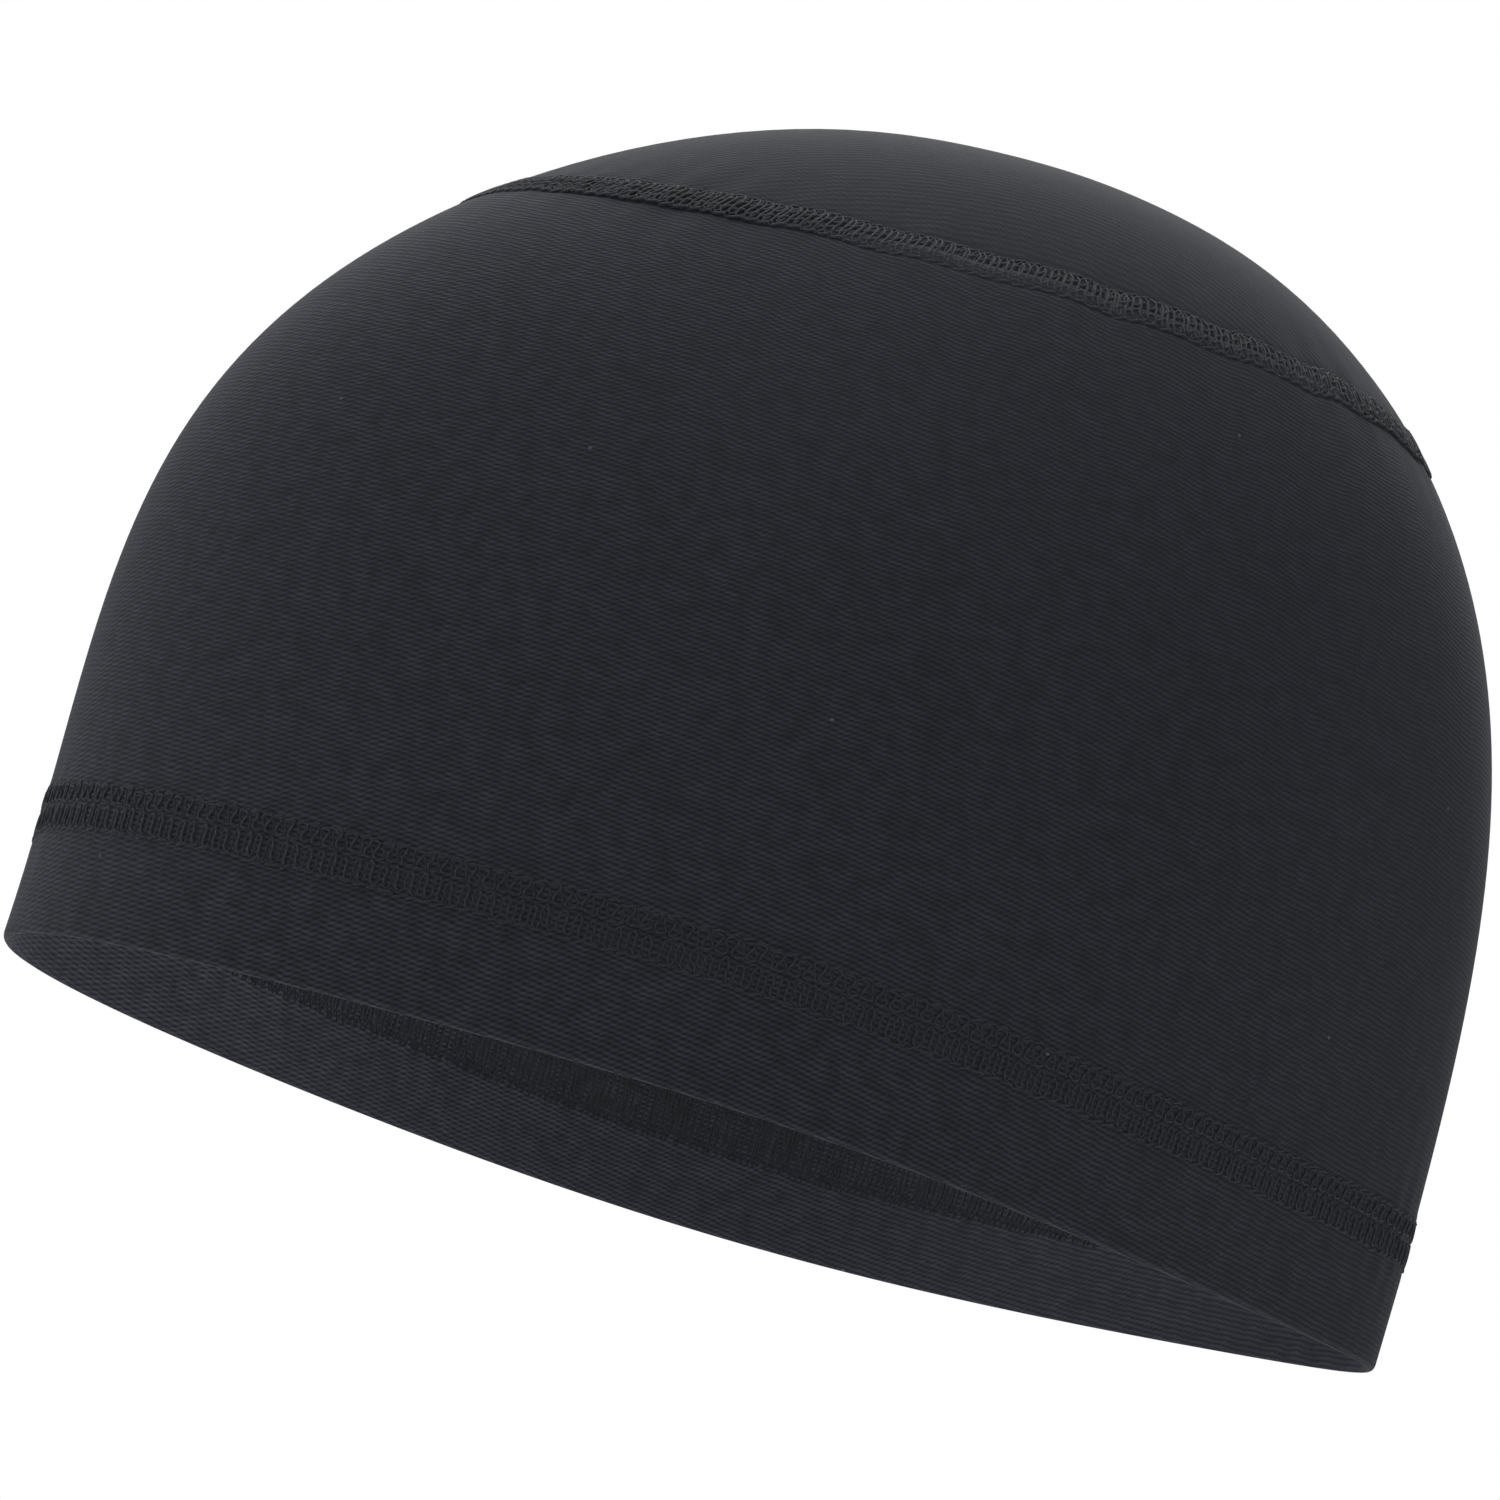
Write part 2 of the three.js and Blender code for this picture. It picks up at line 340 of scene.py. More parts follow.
around = np.pi / 2 + np.arange(BAND_STATIONS) / BAND_STATIONS * 2 * np.pi
column = around[:, None]
rises = band_rises(around)
base = cloth(column, rises, 0.0)
climb = np.linalg.norm(np.diff(base, axis=1), axis=2) / MM
above_fold = np.concatenate([climb[:, ::-1].cumsum(1)[:, ::-1], 0 * column], axis=1) + FOLD_HEIGHT
from_seam = -np.concatenate([0 * column, climb.cumsum(1)], axis=1)
proud = relief(np.broadcast_to(column, rises.shape), above_fold, from_seam)
print("band:", rises.shape[0], "stations of", rises.shape[1], "rows,",
      round(climb.sum(1).mean()), "mm deep")

# %% [markdown]
# At the rim the cloth turns through half a circle. The inner side of the fold is a smaller half
# circle, and it lies a cloth's thickness higher. The turned-up ply needs rows of its own, which end
# at its raw edge.

# %% Fold and turned-up ply
CLOTH = 0.65
PLY_GAP = 0.12
FOLD_STEPS = 7
TURNED_PLY = [1.0, 2.4, 4.2, 6.5, 9.0, 11.5, 13.6, 15.0, 16.5, 18.0, 19.5, 20.6, 21.0]
ply_inner = 2 * CLOTH + PLY_GAP


def fold_arc(outer_depth, inner_depth, height, outward_first=True):
    """Half a turn of the fold as (height, depth) pairs: a half circle squeezed to height."""
    turn = np.linspace(0, np.pi, FOLD_STEPS + 2)[1:-1]
    middle, half = (outer_depth + inner_depth) / 2, (inner_depth - outer_depth) / 2
    pairs = np.stack([height * (1 - np.sin(turn)), middle - half * np.cos(turn)], axis=1)
    return pairs if outward_first else pairs[::-1]


def fold_rows(pairs):
    """Meridian angles and depths of a fold's (height, depth) pairs at every station."""
    heights = np.stack([rise_by(around, 0 * around, h) for h in pairs[:, 0]], axis=1)
    return heights, pairs[:, 1][None] - proud[:, -1:]


outer_fold = fold_rows(fold_arc(0.0, ply_inner, FOLD_HEIGHT))
inner_arc = fold_arc(CLOTH, CLOTH + PLY_GAP, FOLD_HEIGHT, outward_first=False)
inner_fold = fold_rows(inner_arc + [CLOTH, 0.0])

turned = np.array(TURNED_PLY)
turned_rise = np.stack([rise_by(around, 0 * around, d) for d in turned], axis=1)
turned_proud = relief(np.broadcast_to(column, turned_rise.shape), np.broadcast_to(
    turned, turned_rise.shape), np.full(turned_rise.shape, -FAR))
print("turned-up ply:", TURNED_PLY[-1], "mm high, its inner face", round(ply_inner, 2), "mm deep")

# %% [markdown]
# The cross-section of the band is one closed loop: outer face down, round the fold, up the turned
# ply, over its raw edge, down its hidden face and back up the band's own inner face. One loop at
# each station makes a closed ring.

# %% Side band with its turned-up hem
hidden = slice(None, 0, -1)  # the turned ply's hidden face, downwards, without its lowest row
inside = slice(-3, None, -1)  # the band's inner face, upwards, without its two lowest rows
section_rise = [rises, outer_fold[0], turned_rise, turned_rise[:, hidden], inner_fold[0],
                rises[:, inside]]
section_depth = [-proud, outer_fold[1], ply_inner - turned_proud,
                 CLOTH + PLY_GAP - turned_proud[:, hidden], inner_fold[1], CLOTH - proud[:, inside]]
band_points = cloth(column, np.concatenate(section_rise, 1), np.concatenate(section_depth, 1))

rim_length = np.linalg.norm(np.diff(base[:, -1], axis=0, append=base[:1, -1]), axis=1).sum()
band_along = np.linspace(0, rim_length, BAND_STATIONS + 1)
path = np.linalg.norm(np.diff(band_points[0], axis=0), axis=1).cumsum()
band_across = path[rises.shape[1] - 1] - np.concatenate([[0.0], path])
side_band = ring_piece("side_band_cloth", band_points, band_along, band_across)
print("rim", round(rim_length / MM), "mm round")

# %% [markdown]
# The top panel is an oval of the same knit, cut flat and stretched into a dome. Its rows of points
# start like the band's, close beside the seam, and climb to the middle of the dome. The relief
# fades out on the way, because at the pole all stations meet.

# %% Rows of the top panel
PANEL_STATIONS = 360
PANEL_ROWS = 26

panel_around = np.arange(PANEL_STATIONS) / PANEL_STATIONS * 2 * np.pi
panel_column = panel_around[:, None]
edge_rise = np.stack([rise_by(panel_around, seam_rise(panel_around), d) for d in NEAR_SEAM], 1)
share = (1 - np.arange(1, PANEL_ROWS) / PANEL_ROWS) ** (FULLNESS["front"] / 2)
crown_rise = np.arccos(np.cos(edge_rise[:, -1:]) * share)
panel_rise = np.concatenate([edge_rise, crown_rise], axis=1)
panel_climb = np.linalg.norm(np.diff(cloth(panel_column, panel_rise, 0.0), axis=1), axis=2) / MM
above_seam = np.concatenate([0 * panel_column, panel_climb.cumsum(1)], axis=1)
spread = np.broadcast_to(panel_column, panel_rise.shape)
panel_proud = relief(spread, np.full(panel_rise.shape, FAR), above_seam)
toward_pole = smooth(0, 1, above_seam / above_seam[:, -1:])
panel_proud = panel_proud * (1 - toward_pole) + panel_proud[:, -1].mean() * toward_pole
print("panel:", PANEL_STATIONS, "stations of", panel_rise.shape[1], "rows,",
      round(above_seam[:, -1].mean()), "mm from the seam to the last row")

# %% [markdown]
# The panel is made as two skins, outer and inner, that meet at the cut edge under the seam. Each
# skin ends in a fan of triangles round its middle point, so the pole is closed. The UV map is the
# flat cut seen from above, because the knit lines run straight across a cut panel.

# %% Top panel
def panel_skin(depth):
    """Points of one skin, edge first, and the pole that closes it."""
    rows = cloth(panel_column, panel_rise, depth - panel_proud)
    pole = cloth(0.0, np.pi / 2, depth - panel_proud[0, -1])
    return rows, pole


outer_rows, outer_pole = panel_skin(0.0)
inner_rows, inner_pole = panel_skin(CLOTH)
panel_rows = np.concatenate([outer_rows[:, ::-1], inner_rows], axis=1)
corners = panel_rows.shape[1]
quads, _, _ = ring_faces(PANEL_STATIONS, corners, closed=False)
first = np.arange(PANEL_STATIONS) * corners
second = np.roll(first, -1)
outer_fan = np.stack([first, second, np.full_like(first, PANEL_STATIONS * corners)], 1)
inner_fan = np.stack([second, first, np.full_like(first, PANEL_STATIONS * corners + 1)], 1)
inner_fan[:, :2] += corners - 1
panel_points = np.concatenate([panel_rows.reshape(-1, 3), [outer_pole], [inner_pole]])
panel_faces = quads.tolist() + outer_fan.tolist() + inner_fan.tolist()
flat = panel_points[:, [1, 0]]
panel_uv = np.concatenate([flat[quads].reshape(-1, 2), flat[outer_fan].reshape(-1, 2),
                           flat[inner_fan].reshape(-1, 2)])
top_panel = make_piece("top_panel_cloth", panel_points, panel_faces, panel_uv)

# %% [markdown]
# Sewing thread is modelled as thread: thin tubes that follow a closed path round the cap. A path is
# given in three numbers: along the seam, across it and above the cloth. A seam line turns them into
# places, with the relief of the cloth under it, so a thread follows every pucker.

# %% A line to sew along
LINE_POINTS = 2001


class SeamLine:
    """A closed line round the cap, measured along its own length."""

    def __init__(self, rise_at, above_fold, side):
        """rise_at gives the line's meridian angle; above_fold is its height, or none for the
        crown seam; side is +1 for threads on the outer face and -1 for the inner one."""
        self.rise_at, self.above_fold, self.side = rise_at, above_fold, side
        self.around = np.linspace(0, 2 * np.pi, LINE_POINTS)
        line = cloth(self.around, rise_at(self.around), 0.0)
        steps = np.linalg.norm(np.diff(line, axis=0), axis=1) / MM
        self.run = np.concatenate([[0.0], steps.cumsum()])
        self.length = self.run[-1]

    def place(self, along, across, lift, base_depth):
        """Points (m) for distances along and across the line and lift above the face, in mm."""
        around = np.interp(along % self.length, self.run, self.around)
        rise = rise_by(around, self.rise_at(around), across)
        if self.above_fold is None:
            proud = relief(around, np.full_like(around, FAR), across)
        else:
            proud = relief(around, self.above_fold + across, np.full_like(around, -FAR))
        return cloth(around, rise, base_depth - proud - self.side * lift)


print("crown seam", round(SeamLine(seam_rise, None, side=1).length), "mm round")

# %% [markdown]
# Carrying a small polygon along the path gives the tube. Blender can bevel a curve into one too,
# but a polygon of our own keeps the points few, and its UV map can run along the thread. In real
# sewing no two stitches are alike, so each one is also moved a little at random.

# %% Tubes and stitches
THREAD_SIDES = 5
LEAD_SHARE = 1.4  # how much more uneven a stitch is along the seam than across it


def tube(points, normals, radius):
    """Rings of a tube round a closed path: centre + radius (cos a times the side direction +
    sin a times the up direction), the two being square to the path."""
    ahead = np.roll(points, -1, 0) - np.roll(points, 1, 0)
    ahead /= np.linalg.norm(ahead, axis=1, keepdims=True)
    beside = np.cross(normals, ahead)
    beside /= np.linalg.norm(beside, axis=1, keepdims=True)
    up = np.cross(ahead, beside)
    turn = np.arange(THREAD_SIDES) / THREAD_SIDES * 2 * np.pi
    ring = np.cos(turn)[:, None] * beside[:, None] + np.sin(turn)[:, None] * up[:, None]
    return points[:, None] + radius * ring


def unevenness(dice, most, count, steps):
    """A random length (mm) for each stitch, joined by straight lines into a closed curve."""
    knots = dice.uniform(-most, most, count)
    stops = np.arange(count * steps) / steps
    return np.interp(stops, np.arange(count + 1), np.append(knots, knots[0]))


def stitch_threads(name, line, stitch, threads, depth, radius, uneven, steps):
    """One piece that joins several threads. Each thread is a function of the stitch phase that
    returns how far it leads or lags, its place across and its lift, all in mm. depth is that of
    the face that it lies on, and radius is the thread's. No two stitches are quite alike, so a
    little unevenness is added to lead and place. steps is the rings of a tube in one stitch."""
    count = round(line.length / stitch)
    phase = np.arange(count * steps) / steps * 2 * np.pi
    along = phase / (2 * np.pi) * line.length / count
    dice = np.random.default_rng(count + steps)
    rings = []
    for path in threads:
        lead, across, lift = (np.broadcast_to(v, phase.shape) for v in path(phase))
        lead = lead + unevenness(dice, LEAD_SHARE * uneven, count, steps)
        across = across + unevenness(dice, uneven, count, steps)
        points = line.place(along + lead, across, lift, depth)
        above = line.place(along + lead, across, lift + 1.0, depth)
        rings.append(tube(points, (above - points) / MM, radius * MM))
    length, corners = len(phase), THREAD_SIDES
    faces, stops, marks = ring_faces(length, corners)
    faces = np.concatenate([faces + i * length * corners for i in range(len(threads))])
    uv = np.stack([stops * line.length * MM / length, marks / corners], axis=-1)
    uv = np.tile(uv, (len(threads), 1, 1))
    piece = make_piece(name, np.concatenate(rings), faces.tolist(), uv)
    print(f"  {count} stitches of {line.length / count:.2f} mm on a line of {line.length:.0f} mm")
    return piece


# %% [markdown]
# Two kinds of path are enough for both seams. A crossing thread goes over and back once in a
# stitch. A needle thread runs straight on, and dips under the cloth where the needle went in.

# %% Paths of the threads
ZIGZAG_SHARPNESS = 0.96
NEEDLE_LIFT, NEEDLE_DIP, NEEDLE_SWAY = 0.06, 0.36, 0.15


def rounded_zigzag(phase):
    """A zigzag between -1 and 1 with soft corners: a cosine pushed towards straight flanks."""
    return np.arcsin(ZIGZAG_SHARPNESS * np.cos(phase)) / np.arcsin(ZIGZAG_SHARPNESS)


def crossing(lead, middle, reach, lift, swing, shift=0.0, wave=rounded_zigzag):
    """A thread that goes across and back once in a stitch. With p the phase, it leads by lead
    times sin(2p), lies at middle + reach times wave(p), and rises to lift + swing times sin(p)."""
    def path(phase):
        p = phase + shift
        return lead * np.sin(2 * p), middle + reach * wave(p), lift + swing * np.sin(p)
    return path


def needle_row(across, shift, sway=NEEDLE_SWAY):
    """Needle thread: a long dash on top, then a dip under the cloth where the needle went in."""
    def path(phase):
        p = phase + shift
        lift = NEEDLE_LIFT - NEEDLE_DIP * np.clip(-np.cos(p), 0, 1) ** 3
        return 0.0 * p, across + sway * np.sin(p), lift
    return path


lowest = needle_row(0.0, 0.0)(np.pi)[2]
print("a needle thread dips to", round(lowest, 2), "mm against the face of the cloth")

# %% [markdown]
# The crown seam is a flatlock. Two cover threads cross from edge to edge and back in every stitch,
# one passing over the other by turns, and rows of needle thread hold them down at both edges.

# %% Crown seam threads
SEAM_STITCH = 2.0
COVER_REACH = 2.3


def cover(shift):
    """Cover thread: from edge to edge, high where it passes over its twin."""
    return crossing(lead=0.35, middle=0.0, reach=COVER_REACH, lift=-0.02, swing=0.08, shift=shift)


crown_outside = SeamLine(seam_rise, None, side=1)
crown_threads = [cover(0.0), cover(np.pi), needle_row(2.25, 0.0), needle_row(-2.25, np.pi),
                 needle_row(0.75, 1.6, 0.3), needle_row(-0.75, 4.7, 0.3)]
crown_seam_outside = stitch_threads("crown_seam_threads", crown_outside, SEAM_STITCH,
                                    crown_threads, depth=0.0, radius=0.22, uneven=0.22, steps=10)

crown_inside = SeamLine(seam_rise, None, side=-1)
under_threads = [cover(0.0), cover(np.pi), needle_row(2.0, 0.0), needle_row(-2.0, np.pi)]
crown_seam_inside = stitch_threads("crown_seam_inner_threads", crown_inside, SEAM_STITCH,
                                   under_threads, depth=CLOTH, radius=0.165, uneven=0.2, steps=8)

# %% [markdown]
# The hem is held by a coverstitch. Outside it shows two rows. The upper one is curls, loops that
# lean forward and back once in a stitch. The lower one is rungs, short upright bars joined by turns
# at their tops and at their feet. Inside, looper threads cross the whole width, from well below the
# lower row, and reach over the raw edge of the turned ply, so it can't fray.

# %% Hem threads
HEM_STITCH = 1.95


def hem_rise(around):
    """Meridian angle of the middle of the hem's stitches."""
    return rise_by(around, 0 * around, HEM_MIDDLE)


curls = crossing(lead=0.55, middle=1.80, reach=1.20, lift=0.02, swing=0.08, wave=np.cos)
rungs = crossing(lead=0.25, middle=-1.45, reach=1.55, lift=0.02, swing=0.08)

hem_outside = SeamLine(hem_rise, HEM_MIDDLE, side=1)
outside_threads = [curls, rungs, needle_row(3.05, 0.4), needle_row(-3.1, 3.6)]
hem_threads = stitch_threads("hem_stitch_threads", hem_outside, HEM_STITCH,
                             outside_threads, depth=0.0, radius=0.20, uneven=0.30, steps=10)


def looper(shift):
    """Looper thread inside: from well below the lower needle row to past the raw edge."""
    return crossing(lead=0.4, middle=-1.0, reach=5.1, lift=0.13, swing=0.10, shift=shift)


hem_inside = SeamLine(hem_rise, HEM_MIDDLE, side=-1)
inside_threads = [looper(0.0), looper(np.pi), needle_row(3.0, 0.0), needle_row(0.0, 2.0),
                  needle_row(-3.0, 4.0), needle_row(-5.0, 1.0)]
hem_inner_threads = stitch_threads("hem_stitch_inner_threads", hem_inside, HEM_STITCH,
                                   inside_threads, depth=ply_inner, radius=0.17, uneven=0.25,
                                   steps=8)

# %% [markdown]
# The knit is a dense charcoal jersey. What the eye reads is a field of very fine lines that run
# almost parallel to the rim, a soft sheen towards the outline, and small changes of tone. The lines
# follow the UV map, which is in metres of cloth, so they keep their pitch and bend with the cloth.
# Sheen and roughness are plain numbers on the shader; only the pattern is wired. A few helpers keep
# the wiring short.

# %% Node helpers
def new_material(name, colour):
    """A material with one principled shader, and its node tree."""
    material = bpy.data.materials.new(name)
    material.use_nodes = True
    shader = material.node_tree.nodes["Principled BSDF"]
    shader.inputs["Base Color"].default_value = (*colour, 1.0)
    return material, material.node_tree, shader


def node(tree, kind, settings=None, **inputs):
    """A node with some settings, and inputs that are numbers or other nodes' outputs. An input is
    given by its name, or as i0, i1 and so on by its number."""
    made = tree.nodes.new(kind)
    for key, value in (settings or {}).items():
        setattr(made, key, value)
    for key, value in inputs.items():
        by_number = key[0] == "i" and key[1:].isdigit()
        socket = made.inputs[int(key[1:]) if by_number else key]
        if isinstance(value, bpy.types.NodeSocket):
            tree.links.new(value, socket)
        else:
            socket.default_value = value
    return made


def calc(tree, operation, a, b=0.0, c=0.0):
    """One step of arithmetic on numbers or sockets."""
    return node(tree, "ShaderNodeMath", {"operation": operation}, i0=a, i1=b, i2=c).outputs[0]


# %% [markdown]
# A pattern reaches the shader in two ways: as a tone that darkens or lightens the plain colour, and
# as a height that tilts the light. All patterns start as numbers in a field, here waves.

# %% Pattern helpers
MIX_FIRST, MIX_SECOND, MIX_RESULT = 6, 7, 2  # a Mix node's colour sockets


def tint(tree, shader, colour, tone):
    """Wires the shader's base colour: the plain colour times a changing tone."""
    mix = node(tree, "ShaderNodeMix", {"data_type": "RGBA", "blend_type": "MULTIPLY"}, i0=1.0)
    mix.inputs[MIX_FIRST].default_value = (*colour, 1.0)
    grey = node(tree, "ShaderNodeCombineXYZ", X=tone, Y=tone, Z=tone).outputs[0]
    tree.links.new(grey, mix.inputs[MIX_SECOND])
    tree.links.new(mix.outputs[MIX_RESULT], shader.inputs["Base Color"])


def emboss(tree, shader, height, strength, depth):
    """Wires the shader's normal: a bump of this height pattern, strength and depth in metres."""
    bump = node(tree, "ShaderNodeBump", Height=height, Strength=strength, Distance=depth)
    tree.links.new(bump.outputs[0], shader.inputs["Normal"])


def wave_lines(tree, place, pitch):
    """Lines of one pitch across place: half a cosine of its angle, from 0 to 1."""
    angle = calc(tree, "MULTIPLY", place, 2 * np.pi / pitch)
    return calc(tree, "MULTIPLY_ADD", calc(tree, "COSINE", angle), 0.5, 0.5)


# %% [markdown]
# A knit shows two crossing sets of lines: courses, the rows of stitches that run round the cap, and
# wales, the columns that cross them. Here they are waves of the UV map with a measured pitch and
# slant. A patchy noise shifts and fades them, as real stitches are never quite regular.

# %% Lines of the knit
COURSES = (0.728 * MM, (0.082, -0.024, -0.058))  # pitch, and slants as in slanted below
WALES = (0.760 * MM, (-0.677, -0.307, 0.193))
PATCH, JITTER = (420.0, 1.0), 0.6 * MM  # noise scale in a metre and detail, shift of the lines
WALE_SHARE, WALE_FADE = 0.52, -2.8  # beside the courses' 1, and its change for a metre to the nape
PATCH_FADE, PATCH_LEAST = 1.2, 0.3
LINE_STRENGTH, FADE_UP, FADE_TO_NAPE = 1.25, -4.5, -1.5  # and its changes for a metre
KNIT_MEAN = 0.65


def noise(tree, solid, scale, detail):
    """Soft random blobs, 0 to 1, so many in a metre, with finer ones mixed in by the detail."""
    return node(tree, "ShaderNodeTexNoise", Vector=solid, Scale=scale, Detail=detail).outputs[0]


def slanted(tree, u, v, length, pitch, slants):
    """Places across a set of lines: v plus the sum over u of a slant that changes round the cap,
    mean + once cos(t) + twice cos(2t), where t is a full turn over length. The mean is rounded so
    that a whole number of lines closes the ring."""
    mean, once, twice = slants
    mean = round(mean * length / pitch) * pitch / length
    turn = calc(tree, "MULTIPLY", u, 2 * np.pi / length)
    first = calc(tree, "MULTIPLY", calc(tree, "SINE", turn), once * length / (2 * np.pi))
    double = calc(tree, "SINE", calc(tree, "MULTIPLY", turn, 2.0))
    second = calc(tree, "MULTIPLY_ADD", double, twice * length / (4 * np.pi), first)
    return calc(tree, "ADD", calc(tree, "MULTIPLY_ADD", u, mean, v), second)


def knit_lines(tree, place, solid, length, contrast):
    """Height of the knit, 0 to about 1.5: courses plus a share of the wales, times a patchy
    noise. The wales fade towards the nape, and all lines fade towards the crown and the nape."""
    split = node(tree, "ShaderNodeSeparateXYZ", Vector=place)
    u, height_up = split.outputs["X"], split.outputs["Y"]
    patch = noise(tree, solid, *PATCH)
    v = calc(tree, "MULTIPLY_ADD", patch, JITTER, height_up)
    courses, wales = (wave_lines(tree, slanted(tree, u, v, length, pitch, slants), pitch)
                      for pitch, slants in (COURSES, WALES))
    to_nape = node(tree, "ShaderNodeSeparateXYZ", Vector=solid).outputs["Y"]
    share = calc(tree, "MULTIPLY_ADD", to_nape, WALE_FADE, WALE_SHARE)
    knit = calc(tree, "MULTIPLY_ADD", wales, share, courses)
    knit = calc(tree, "MULTIPLY", knit, calc(tree, "MULTIPLY_ADD", patch, PATCH_FADE, PATCH_LEAST))
    fade = calc(tree, "MULTIPLY_ADD", height_up, FADE_UP, LINE_STRENGTH)
    fade = calc(tree, "MULTIPLY_ADD", to_nape, FADE_TO_NAPE, fade)
    even = calc(tree, "SUBTRACT", knit, KNIT_MEAN)
    return calc(tree, "MULTIPLY_ADD", even, calc(tree, "MULTIPLY", fade, contrast), KNIT_MEAN)


print("in one turn the courses climb", round(rim_length * COURSES[1][0] / COURSES[0]), "rows")

# %% [markdown]
# The same lines drive the bump and the tone, so they look raised and shaded at once. A fine noise
# adds the fuzz of the yarn, a broad one the cloudy tone of dyed cloth, and a few specks are lint.

# %% Knit cloth
KNIT_DEPTH, KNIT_BUMP = 0.10 * MM, 0.6
FIBRE, FIBRE_HEIGHT = (2400.0, 2.0), 0.7
CLOUD = (16.0, 3.0)
LINT_SCALE, LINT_RADIUS = 15.0, 0.0036
TONE_BASE, TONE_KNIT, TONE_CLOUD, TONE_FIBRE, TONE_LINT = 0.21, 0.60, 0.26, 0.30, 2.0


def knit_cloth(name, colour, length, contrast):
    """Knit: height = lines + fibre noise. Tone = a base + shares of lines, clouds, fibre noise
    and lint. length is that of the UV map round the cap, and contrast that of the lines."""
    material, tree, shader = new_material(name, colour)
    place = node(tree, "ShaderNodeUVMap", {"uv_map": "cloth_uv"}).outputs["UV"]
    solid = node(tree, "ShaderNodeTexCoord").outputs["Object"]
    knit = knit_lines(tree, place, solid, length, contrast)
    fibre, cloud = noise(tree, solid, *FIBRE), noise(tree, solid, *CLOUD)
    height = calc(tree, "MULTIPLY_ADD", fibre, FIBRE_HEIGHT, knit)
    emboss(tree, shader, height, KNIT_BUMP, KNIT_DEPTH)

    lint = node(tree, "ShaderNodeTexVoronoi", {"voronoi_dimensions": "2D"},
                Vector=place, Scale=LINT_SCALE).outputs["Distance"]
    speck = calc(tree, "LESS_THAN", lint, LINT_RADIUS)
    tone = calc(tree, "MULTIPLY_ADD", knit, TONE_KNIT, TONE_BASE)
    for pattern, amount in ((cloud, TONE_CLOUD), (fibre, TONE_FIBRE), (speck, TONE_LINT)):
        tone = calc(tree, "MULTIPLY_ADD", pattern, amount, tone)
    tint(tree, shader, colour, tone)
    shader.inputs["Roughness"].default_value = 0.85
    shader.inputs["Specular IOR Level"].default_value = 0.12
    shader.inputs["Sheen Weight"].default_value = 0.06
    shader.inputs["Sheen Roughness"].default_value = 0.5
    shader.inputs["Sheen Tint"].default_value = (0.85, 0.90, 1.0, 1.0)
    return material


band_knit = knit_cloth("band_knit", (0.0275, 0.0296, 0.0376), rim_length, 1.0)
panel_knit = knit_cloth("panel_knit", (0.0250, 0.0266, 0.0312), rim_length, 0.4)
side_band.data.materials.append(band_knit)
top_panel.data.materials.append(panel_knit)
print("knits:", band_knit.name, "and", panel_knit.name)

# %% [markdown]
# The thread is textured polyester: two fine yarns twisted together, a touch smoother than the
# cloth. Its UV map runs along the thread and round it, so slanting waves make the twist. The crown
# seam's thread is the lightest. The threads inside the cap are the darkest: their colour is
# darkened as painted shade for the hollow of the cap.

# %% Sewing thread
TWIST_LENGTH, TWIST_DEPTH, TWIST_BUMP = 0.7 * MM, 0.05 * MM, 0.5
TWIST_DARK, TWIST_CONTRAST = 0.7, 0.5


def twisted_thread(name, colour):
    """Thread: bump and tone from waves that climb round the thread once in a twist's length,
    two waves to a twist because there are two yarns."""
    material, tree, shader = new_material(name, colour)
    place = node(tree, "ShaderNodeUVMap", {"uv_map": "cloth_uv"}).outputs["UV"]
    split = node(tree, "ShaderNodeSeparateXYZ", Vector=place)
    climb = calc(tree, "MULTIPLY_ADD", split.outputs["Y"], TWIST_LENGTH, split.outputs["X"])
    twist = wave_lines(tree, climb, TWIST_LENGTH / 2)
    emboss(tree, shader, twist, TWIST_BUMP, TWIST_DEPTH)
    tint(tree, shader, colour, calc(tree, "MULTIPLY_ADD", twist, TWIST_CONTRAST, TWIST_DARK))
    shader.inputs["Roughness"].default_value = 0.7
    shader.inputs["Specular IOR Level"].default_value = 0.15
    shader.inputs["Sheen Weight"].default_value = 0.06
    shader.inputs["Sheen Roughness"].default_value = 0.5
    return material


crown_thread = twisted_thread("crown_thread", (0.0405, 0.0428, 0.0500))
hem_thread = twisted_thread("hem_thread", (0.0302, 0.0326, 0.0405))
# painted shade: the threads inside the cap are darker than the hem's, to stand for the shade in the
# hollow
inside_thread_painted_shade = twisted_thread("inside_thread_painted_shade", (0.0170, 0.0186, 0.0220))
crown_seam_outside.data.materials.append(crown_thread)
hem_threads.data.materials.append(hem_thread)
for piece in (crown_seam_inside, hem_inner_threads):
    piece.data.materials.append(inside_thread_painted_shade)
print("threads:", crown_thread.name, hem_thread.name, inside_thread_painted_shade.name)

# %% [markdown]
# Each piece now hides the solid that it stands for and hangs from the root. The table also names
# a finish for each piece, which nothing here uses. The two cloths are sheets: the knit is stretched
# on the head, and its cut is smaller than the surface that it covers.

# %% What each piece stands for
stands_for = [
    (side_band, ["side_band"], "band_cloth"),
    (top_panel, ["top_panel"], "panel_cloth"),
    (crown_seam_outside, ["crown_seam"], "seam_thread"),
    (crown_seam_inside, ["crown_seam"], "seam_thread"),
    (hem_threads, ["hem_stitch_outside"], "seam_thread"),
    (hem_inner_threads, ["hem_stitch_inside"], "seam_thread"),
]
for piece, nodes, slot in stands_for:
    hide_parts(*nodes)
    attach(piece, "root")
    print(piece.name, "stands for", nodes[0])

# %% [markdown]
# The cap hangs in a plain white studio, held as a head would hold it. The floor is a pale disc that
# glows a little, like a light table. It lies far below, so the cap can be seen from below too.

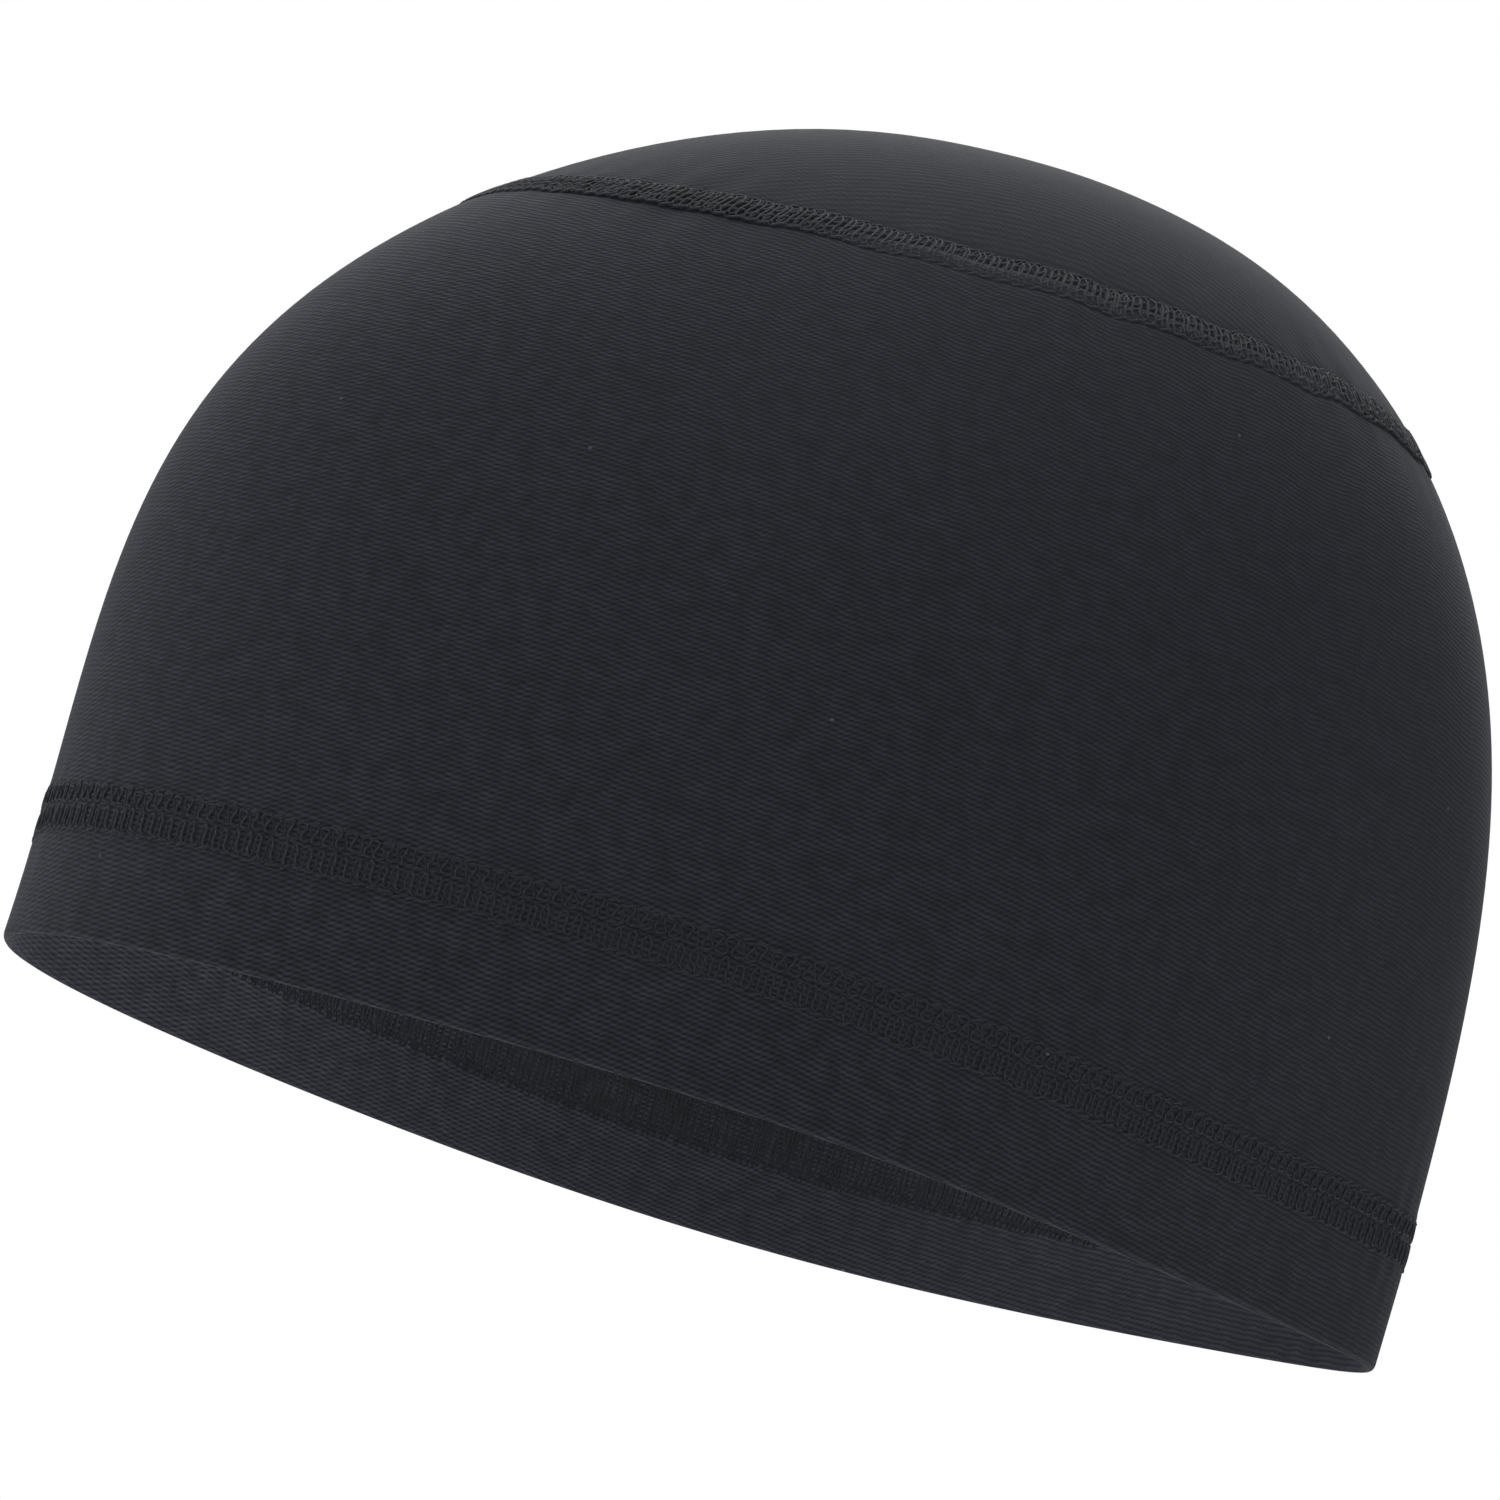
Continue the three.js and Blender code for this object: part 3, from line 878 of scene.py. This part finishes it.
# %% Floor
FLOOR_DROP, FLOOR_RADIUS, FLOOR_CORNERS = 2.6, 18.0, 96
FLOOR_GLOW = 0.55
floor_mesh = bpy.data.meshes.new("studio_floor")
turn = np.arange(FLOOR_CORNERS) / FLOOR_CORNERS * 2 * np.pi
level = np.full(FLOOR_CORNERS, -FLOOR_DROP)
circle = np.stack([FLOOR_RADIUS * np.cos(turn), FLOOR_RADIUS * np.sin(turn), level], axis=1)
floor_mesh.from_pydata(circle, [], [list(range(FLOOR_CORNERS))])
floor = bpy.data.objects.new("studio_floor", floor_mesh)
bpy.context.scene.collection.objects.link(floor)
floor_paper, _, floor_shader = new_material("floor_paper", (0.86, 0.86, 0.86))
floor_shader.inputs["Roughness"].default_value = 0.9
floor_shader.inputs["Emission Color"].default_value = (1.0, 1.0, 1.0, 1.0)
floor_shader.inputs["Emission Strength"].default_value = FLOOR_GLOW
floor_mesh.materials.append(floor_paper)
print("floor", FLOOR_DROP, "m below the crown of the head")

# %% [markdown]
# Dark cloth needs broad soft light, because small lamps would draw hard spots in its sheen. Two
# large lights above make the top panel the lightest part, and one beside the forehead lightens the
# front. Three small ones hang in the hollow, where the others don't reach.

# %% Lights
def soft_light(name, place, size, power, target=pivot):
    """A soft light at place (m), turned to a target, with its size in metres and power in W."""
    data = bpy.data.lights.new(name, "AREA")
    data.shape = "RECTANGLE"
    data.size, data.size_y = size
    data.energy = power
    light = bpy.data.objects.new(name, data)
    bpy.context.scene.collection.objects.link(light)
    light.location = Vector(place)
    light.rotation_euler = (light.location - Vector(target)).to_track_quat("Z", "Y").to_euler()
    light.visible_camera = False


soft_light("top_light", (-0.10, 0.10, 1.25), (1.2, 1.2), 17.2)
soft_light("top_back_light", (-0.9, 0.3, 1.0), (1.0, 1.0), 8.3)
soft_light("forehead_light", (-0.38, -1.18, 0.0), (0.6, 1.0), 4.0)
soft_light("hollow_light", (0.02, -0.035, -0.085), (0.04, 0.04), 0.040, (-0.05, -0.08, -0.12))
soft_light("hollow_nape_light", (0.01, 0.030, -0.105), (0.04, 0.04), 0.032, (-0.05, 0.06, -0.16))
soft_light("hollow_crown_light", (0.0, -0.01, -0.12), (0.06, 0.06), 0.035, (0.0, 0.0, 0.0))
print("lights:", [light.name for light in bpy.data.lights])

# %% [markdown]
# Two walls glow too: the one behind the camera fills the near side evenly, and the one behind the
# cap draws a faint edge along its outline. They are the two sides of the world's background, each
# brightest in its middle. The camera sees plain white all round.

# %% White walls
WALL_BEHIND_CAP, WALL_BEHIND_CAMERA = 0.626, 0.571
world = bpy.data.worlds.new("white_studio")
world.use_nodes = True
bpy.context.scene.world = world
sky = world.node_tree
ray = node(sky, "ShaderNodeTexCoord").outputs["Generated"]
split = node(sky, "ShaderNodeSeparateXYZ", Vector=ray)
behind_cap = calc(sky, "MULTIPLY", calc(sky, "MINIMUM", split.outputs["X"], 0.0), -WALL_BEHIND_CAP)
behind_camera = calc(sky, "MAXIMUM", split.outputs["X"], 0.0)
glow = calc(sky, "MULTIPLY_ADD", behind_camera, WALL_BEHIND_CAMERA, behind_cap)
seen = node(sky, "ShaderNodeLightPath").outputs["Is Camera Ray"]
strength = calc(sky, "MAXIMUM", glow, seen)
sky.nodes["Background"].inputs["Color"].default_value = (1.0, 1.0, 1.0, 1.0)
sky.links.new(strength, sky.nodes["Background"].inputs["Strength"])
bpy.context.scene.view_settings.view_transform = "Standard"
bpy.context.scene.view_settings.look = "None"
print("walls glow", WALL_BEHIND_CAP, "behind the cap and", WALL_BEHIND_CAMERA, "behind the camera")
